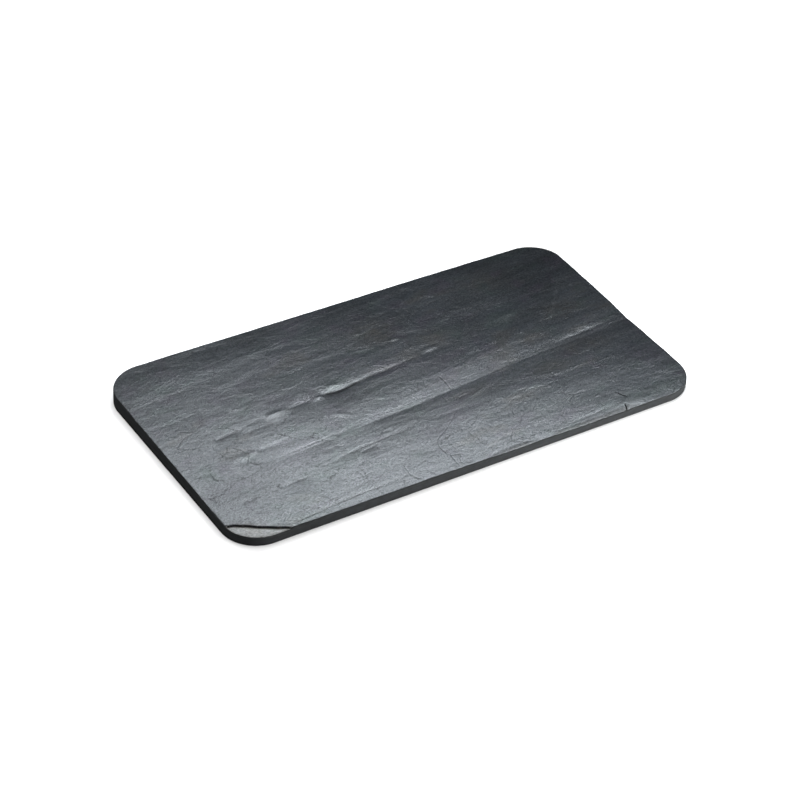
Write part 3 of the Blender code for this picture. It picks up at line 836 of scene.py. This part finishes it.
def mesh_object(name, source, materials):
    data = bpy.data.meshes.new(name)
    data.from_pydata([(x * MM, y * MM, z * MM) for x, y, z in source.points], [], source.faces)
    for material in materials:
        data.materials.append(material)
    data.polygons.foreach_set("material_index", source.finishes)
    for label, values in source.marks.items():
        layer = data.attributes.new(label, "FLOAT", "POINT")
        layer.data.foreach_set("value", np.array(values, np.float32))
    data.shade_smooth()
    data.set_sharp_from_angle(angle=math.radians(SHARP_FROM))
    data.update()
    thing = bpy.data.objects.new(name, data)
    bpy.context.scene.collection.objects.link(thing)
    return thing


# ---------------------------------------------------------------- Materials

WHITE = (1.0, 1.0, 1.0, 1.0)
# Painted shade: the near-black colour painted into the cracks, nicks and ledge feet
CREVICE_SHADE_COLOUR = (0.003, 0.003, 0.004, 1.0)
GREEN_SHEEN = (0.90, 1.0, 0.93, 1.0)
VIOLET_SHEEN = (1.0, 0.94, 1.0, 1.0)
BROWN_SHEEN = (1.0, 0.96, 0.90, 1.0)
FLAKE_RELIEF = 0.035  # how high each part of the fine grain stands
STREAK_RELIEF = 0.06
RUGGED_RELIEF = 0.08
SPECKLE_RELIEF = 0.06
DOT_RELIEF = 0.03
HAIR_CRACK_DEPTH = 0.08


def opaque(colour):
    return (*colour, 1.0)


class Graph:
    """Adds nodes to a material, joining whatever is given for each of their inputs."""

    def __init__(self, name):
        self.material = bpy.data.materials.new(name)
        self.material.use_nodes = True
        self.nodes = self.material.node_tree.nodes
        self.links = self.material.node_tree.links
        self.shader = self.nodes["Principled BSDF"]
        self.grain = self.grain_space()

    def add(self, kind, given, **settings):
        node = self.nodes.new(kind)
        for name, value in settings.items():
            setattr(node, name, value)
        for name, value in given.items():
            self.feed(node.inputs[name], value)
        return node

    def feed(self, socket, value):
        if isinstance(value, bpy.types.NodeSocket):
            self.links.new(value, socket)
        else:
            socket.default_value = value

    def feed_shader(self, given):
        for name, value in given.items():
            self.feed(self.shader.inputs[name], value)

    def grain_space(self):
        """Places on the slab in millimetres, turned so that X runs along the grain."""
        place = self.add("ShaderNodeTexCoord", {}).outputs["Object"]
        turned = self.add(
            "ShaderNodeMapping",
            {"Vector": place, "Scale": (1 / MM,) * 3, "Rotation": (0, 0, -math.atan(GRAIN_SLOPE))},
        )
        return turned.outputs["Vector"]

    def stretched(self, place, reach):
        """The place measured in the given lengths in millimetres, along x, y and z."""
        scale = tuple(1 / length for length in reach)
        return self.add("ShaderNodeMapping", {"Vector": place, "Scale": scale}).outputs["Vector"]

    def noise(self, reach, detail=2.0, rough=0.5, warp=0.0, output="Fac"):
        """Noise whose patches are about the given lengths in millimetres."""
        made = self.add(
            "ShaderNodeTexNoise",
            {"Vector": self.stretched(self.grain, reach), "Scale": 1.0, "Detail": detail,
             "Roughness": rough, "Distortion": warp},
        )
        return made.outputs[output]

    def cracks(self, reach, width, bends, amount):
        """Lines round irregular cells of about the given lengths, 1 along their middles.

        bends is the length of the lines' turns, and amount how far they stray.
        """
        turns = self.noise((bends,) * 3, 5.0, 0.65, 0.0, "Color")
        turns = self.vector("SUBTRACT", turns, (0.5,) * 3)
        strayed = self.vector("MULTIPLY_ADD", turns, (amount, amount, 0.0), self.grain)
        cells = self.add(
            "ShaderNodeTexVoronoi",
            {"Vector": self.stretched(strayed, reach), "Scale": 1.0, "Randomness": 1.0},
            feature="DISTANCE_TO_EDGE", voronoi_dimensions="2D",
        )
        return self.between(cells.outputs["Distance"], 0.0, width / min(reach[:2]), 1.0, 0.0)

    def vector(self, operation, *given):
        node = self.add("ShaderNodeVectorMath", {}, operation=operation)
        for socket, value in zip(node.inputs, given):
            self.feed(socket, value)
        return node.outputs[0]

    def maths(self, operation, first, second=0.0):
        node = self.add("ShaderNodeMath", {}, operation=operation)
        self.feed(node.inputs[0], first)
        self.feed(node.inputs[1], second)
        return node.outputs[0]

    def times(self, first, second):
        return self.maths("MULTIPLY", first, second)

    def terraces(self, value, count, riser):
        """The value turned into count steps, each with a riser that share of its width."""
        levels = self.times(value, count)
        rise = self.between(self.maths("FRACT", levels), 0.0, riser)
        return self.maths("ADD", self.maths("FLOOR", levels), rise)

    def between(self, value, low, high, to_low=0.0, to_high=1.0):
        """The value with low to high stretched onto another range."""
        node = self.add(
            "ShaderNodeMapRange",
            {"Value": value, "From Min": low, "From Max": high, "To Min": to_low,
             "To Max": to_high},
        )
        return node.outputs["Result"]

    def mix(self, share, first, second, blend="MIX"):
        node = self.add("ShaderNodeMix", {}, data_type="RGBA", blend_type=blend)
        self.feed(node.inputs[0], share)
        self.feed(node.inputs[6], first)
        self.feed(node.inputs[7], second)
        return node.outputs[2]

    def attribute(self, name):
        return self.add("ShaderNodeAttribute", {}, attribute_name=name).outputs["Fac"]

    def bump(self, height, depth, under=None):
        """Raises the surface by up to depth, in millimetres, over any bump under it."""
        given = {"Height": height, "Strength": 1.0, "Distance": depth * MM}
        if under is not None:
            given["Normal"] = under
        return self.add("ShaderNodeBump", given).outputs["Normal"]


class RivenSlate(Graph):
    """Split slate: blue-grey with tinted patches, a fine grain and a satin sheen."""

    def __init__(self, finish):
        super().__init__("riven slate")
        self.cloud = self.between(self.noise((48, 20, 20), 3.0, 0.55), 0.3, 0.7)
        self.streaks = self.noise((18, 1.4, 4), 4.0, 0.6)
        self.broad_streaks = self.noise((60, 4.5, 9), 3.0, 0.5)
        self.speckle = self.noise((1.3, 1.0, 1.1), 2.0, 0.65)
        self.dots = self.noise((0.7, 0.6, 0.6), 1.0, 0.5)
        self.hair_cracks = self.broken_network()
        # Painted shade: the hair cracks join the marked cracks, nicks and ledge feet in one mask
        # that darkens the colour
        self.crevice = self.maths("MAXIMUM", self.hair_cracks, self.attribute("crevice"))
        tints = self.noise((20, 13, 13), 2.0, 0.5, 0.4)
        self.greener = self.tinted(tints, 0.42, 0.30, "green")
        self.purpler = self.tinted(tints, 0.56, 0.68, "violet")
        self.browner = self.tinted(self.cloud, 0.75, 1.0, "brown")
        self.feed_shader({
            "Base Color": self.colour(finish),
            "Specular Tint": self.sheen_tint(),
            "Specular IOR Level": self.sheen(),
            "Roughness": self.roughness(finish.roughness),
            "Normal": self.relief(finish.relief),
        })

    def broken_network(self):
        """Long and short hair cracks that join here and there, from 0 to 1."""
        worn = self.between(self.noise((34, 18, 20), 2.0, 0.5), 0.46, 0.56)
        some = self.between(self.noise((11, 8, 8), 2.0, 0.5), 0.46, 0.56, 0.0, 0.55)
        long_cracks = self.times(self.cracks((42, 30, 1), 0.3, 11.0, 16.0), worn)
        short_cracks = self.times(self.cracks((15, 11, 1), 0.24, 5.0, 8.0), some)
        return self.times(self.maths("MAXIMUM", long_cracks, short_cracks), 0.6)

    def tinted(self, value, low, high, name):
        """How tinted the stone is: by the value between low and high, or by a named mark."""
        spread = self.between(value, low, high, 0.0, 0.45)
        uneven = self.between(self.noise((6, 4, 4), 3.0, 0.6), 0.35, 0.6, 0.3, 1.0)
        return self.maths("MAXIMUM", spread, self.times(uneven, self.attribute(name)))

    def colour(self, finish):
        colour = self.mix(self.cloud, opaque(finish.deep), opaque(finish.pale))
        colour = self.mix(self.browner, colour, opaque(finish.brown))
        colour = self.mix(self.greener, colour, opaque(finish.green))
        colour = self.mix(self.purpler, colour, opaque(finish.violet))
        colour = self.mix(self.attribute("fresh"), colour, opaque(finish.fresh))
        shade = self.between(self.streaks, 0.25, 0.75, 0.75, 1.25)
        shade = self.times(shade, self.between(self.speckle, 0.25, 0.75, 0.6, 1.4))
        colour = self.mix(1.0, colour, shade, "MULTIPLY")
        # Painted shade in the cracks, nicks and ledge feet
        return self.mix(self.crevice, colour, CREVICE_SHADE_COLOUR)

    def sheen_tint(self):
        tint = self.mix(self.greener, WHITE, GREEN_SHEEN)
        tint = self.mix(self.purpler, tint, VIOLET_SHEEN)
        return self.mix(self.browner, tint, BROWN_SHEEN)

    def sheen(self):
        """How much the stone shines: more on rubbed lips, and less in pits and crevices."""
        pits = self.between(self.noise((1.3, 0.9, 1.0), 1.0, 0.5), 0.56, 0.70)
        sheen = self.between(self.speckle, 0.25, 0.75, 0.27, 0.73)
        for share in (
            self.between(self.dots, 0.3, 0.7, 0.7, 1.3),
            self.between(self.broad_streaks, 0.3, 0.7, 0.9, 1.1),
            self.between(pits, 0, 1, 1.0, 0.6),
            self.between(self.crevice, 0, 1, 1.0, 0.1),
            self.maths("ADD", self.attribute("sheen"), 1.0),
            self.between(self.attribute("rubbed"), 0, 1, 1.0, 1.5),
        ):
            sheen = self.times(sheen, share)
        return sheen

    def roughness(self, usual):
        rough = self.between(self.broad_streaks, 0.3, 0.7, usual - 0.03, usual + 0.03)
        return self.maths("ADD", rough, self.between(self.crevice, 0, 1, 0.0, 0.5))

    def relief(self, share):
        """The fine grain, from its broadest part to its finest, at a share of its heights."""
        flakes = self.terraces(self.noise((30, 13, 13), 3.0, 0.5, 0.6), 16.0, 0.16)
        rugged = self.between(self.attribute("rugged"), 0, 1, 1.0, 2.6)
        rugged = self.times(self.noise((5.0, 3.0, 3.0), 3.0, 0.6), rugged)
        normal = None
        for height, depth in (
            (flakes, FLAKE_RELIEF), (self.streaks, STREAK_RELIEF), (rugged, RUGGED_RELIEF),
            (self.speckle, SPECKLE_RELIEF), (self.dots, DOT_RELIEF),
        ):
            normal = self.bump(height, depth * share, normal)
        return self.bump(self.between(self.hair_cracks, 0, 1, 1, 0), HAIR_CRACK_DEPTH, normal)


class GroundSlate(Graph):
    """Ground edges: dark and matt, with the faint lines of the layers they cut."""

    def __init__(self, finish):
        super().__init__("ground slate edge")
        layers = self.noise((60, 60, 0.35), 3.0, 0.6)
        dust = self.noise((5, 5, 2.5), 3.0, 0.6)
        scratches = self.noise((0.7, 0.7, 0.5), 2.0, 0.6)
        tone = self.times(
            self.between(layers, 0.3, 0.7, 0.8, 1.2), self.between(dust, 0.3, 0.7, 0.85, 1.15)
        )
        usual = finish.ground_roughness
        self.feed_shader({
            "Base Color": self.mix(1.0, opaque(finish.ground), tone, "MULTIPLY"),
            "Roughness": self.between(dust, 0.2, 0.8, usual - 0.08, usual + 0.08),
            "Specular IOR Level": 0.0,
            "Normal": self.bump(scratches, 0.02, self.bump(layers, 0.03)),
        })


# ---------------------------------------------------------------- Stage

FLOOR_SIZE = 6.0
FLOOR_GAP = 0.00005  # below the slab, so that their faces don't lie in one plane
FLOOR_ROUGHNESS = 0.9
CAMERA_LENS = 121.15
SENSOR_WIDTH = 36.0
LOOKED_AT = (-0.0117, -0.0154, 0.007)
CAMERA_DISTANCE = 1.6288
CAMERA_LEFT = 33.72  # degrees round from straight in front, as the next two are in degrees
CAMERA_UP = 37.05
CAMERA_ROLL = 3.19


def camera_matrix():
    """Where the camera stands, and how it is turned, from its place round the slab."""
    left, up = math.radians(CAMERA_LEFT), math.radians(CAMERA_UP)
    back = Vector((-math.sin(left) * math.cos(up), -math.cos(left) * math.cos(up), math.sin(up)))
    place = Vector(LOOKED_AT) + back * CAMERA_DISTANCE
    turned = back.to_track_quat("Z", "Y").to_matrix().to_4x4()
    return Matrix.Translation(place) @ turned @ Matrix.Rotation(math.radians(CAMERA_ROLL), 4, "Z")


def add_camera():
    data = bpy.data.cameras.new("camera")
    data.lens = CAMERA_LENS
    data.sensor_width = SENSOR_WIDTH
    camera = bpy.data.objects.new("camera", data)
    camera.matrix_world = camera_matrix()
    bpy.context.scene.collection.objects.link(camera)
    bpy.context.scene.camera = camera


# Each light's setting, where it stands, the point that it faces, its width and height, its
# colour, the degrees that it is rolled, and whether it is mirrored in what it lights
LIGHTS = [
    ("key", (0.084, 0.11, 0.216), (-0.4, -0.4, 0.0), (0.45, 0.04), (0.87, 0.94, 1.0), 13.0, True),
    ("overhead", (-0.15, -0.15, 1.2), (-0.15, -0.15, 0.0), (1.6, 1.6), (1, 1, 1), 0.0, True),
    ("fill", (0.36, -0.33, 0.02), (0.05, -0.088, 0.004), (0.16, 0.02), (1, 1, 1), 0.0, False),
    ("front_fill", (0.06, -0.32, 0.02), (0.04, -0.088, 0.004), (0.12, 0.02), (1, 1, 1), 0.0, False),
    ("wash", (-0.35, 1.15, 0.9), (0.1, 0.55, 0.0), (0.8, 0.5), (1, 1, 1), 0.0, True),
    ("side_wash", (0.8, 0.5, 0.5), (0.55, 0.28, 0.0), (0.4, 0.4), (1, 1, 1), 0.0, False),
]


def add_panel_light(name, power, place, towards, size, colour, roll, mirrored):
    """Adds a soft rectangular light at a place, facing a point."""
    data = bpy.data.lights.new(name, "AREA")
    data.shape = "RECTANGLE"
    data.size, data.size_y = size
    data.energy = power
    data.color = colour
    light = bpy.data.objects.new(name, data)
    facing = (Vector(place) - Vector(towards)).to_track_quat("Z", "Y")
    turned = facing.to_matrix().to_4x4() @ Matrix.Rotation(math.radians(roll), 4, "Z")
    light.matrix_world = Matrix.Translation(place) @ turned
    light.visible_camera = False
    light.visible_glossy = mirrored
    bpy.context.scene.collection.objects.link(light)


def add_floor(colour):
    half = FLOOR_SIZE / 2
    data = bpy.data.meshes.new("floor")
    data.from_pydata([(-half, -half, 0), (half, -half, 0), (half, half, 0), (-half, half, 0)],
                     [], [(0, 1, 2, 3)])
    material = bpy.data.materials.new("floor")
    material.use_nodes = True
    shader = material.node_tree.nodes["Principled BSDF"]
    shader.inputs["Base Color"].default_value = opaque(colour)
    shader.inputs["Roughness"].default_value = FLOOR_ROUGHNESS
    shader.inputs["Specular IOR Level"].default_value = 0.0
    data.materials.append(material)
    floor = bpy.data.objects.new("floor", data)
    floor.location.z = LOW.z - FLOOR_GAP
    bpy.context.scene.collection.objects.link(floor)


def add_sky(strength):
    world = bpy.data.worlds.new("room")
    world.use_nodes = True
    background = world.node_tree.nodes["Background"]
    background.inputs["Color"].default_value = (1, 1, 1, 1)
    background.inputs["Strength"].default_value = strength
    bpy.context.scene.world = world


# ---------------------------------------------------------------- Operators and panel


class MESH_OT_slate_slab(Operator):
    """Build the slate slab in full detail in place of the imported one"""

    bl_idname = "mesh.slate_slab"
    bl_label = "Slate Slab"

    def execute(self, context):
        sizes, finish = context.scene.slab_sizes, context.scene.slate_finish
        source = slab_mesh(Slab(sizes), sizes)
        materials = [RivenSlate(finish).material, GroundSlate(finish).material]
        piece = mesh_object("slate_slab", source, materials)
        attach(piece, "root")
        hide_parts("slab")
        return {"FINISHED"}


class SCENE_OT_slate_stage(Operator):
    """Set up the pale floor, the soft lights and the camera"""

    bl_idname = "scene.slate_stage"
    bl_label = "Slate Stage"

    def execute(self, context):
        stage = context.scene.slate_stage
        add_floor(stage.floor)
        add_sky(stage.sky)
        for name, *settings in LIGHTS:
            add_panel_light(name, getattr(stage, name), *settings)
        add_camera()
        context.scene.view_settings.view_transform = "Standard"
        return {"FINISHED"}


class VIEW3D_PT_slate(Panel):
    """The slab's and the stage's settings, with a button to make each"""

    bl_label = "Slate Slab"
    bl_space_type = "VIEW_3D"
    bl_region_type = "UI"
    bl_category = "Slate"

    def draw(self, context):
        scene = context.scene
        for group, operator in (
            (scene.slab_sizes, None),
            (scene.slate_finish, MESH_OT_slate_slab.bl_idname),
            (scene.slate_stage, SCENE_OT_slate_stage.bl_idname),
        ):
            box = self.layout.box()
            for name in group.__annotations__:
                box.prop(group, name)
            if operator:
                box.operator(operator)


CLASSES = (
    SlabSizes, SlateFinish, StageSettings, MESH_OT_slate_slab, SCENE_OT_slate_stage,
    VIEW3D_PT_slate,
)


def register():
    for made in CLASSES:
        bpy.utils.register_class(made)
    bpy.types.Scene.slab_sizes = PointerProperty(type=SlabSizes)
    bpy.types.Scene.slate_finish = PointerProperty(type=SlateFinish)
    bpy.types.Scene.slate_stage = PointerProperty(type=StageSettings)


def unregister():
    del bpy.types.Scene.slab_sizes
    del bpy.types.Scene.slate_finish
    del bpy.types.Scene.slate_stage
    for made in reversed(CLASSES):
        bpy.utils.unregister_class(made)


def main():
    register()
    bpy.ops.mesh.slate_slab()
    bpy.ops.scene.slate_stage()


if __name__ == "__main__":
    main()
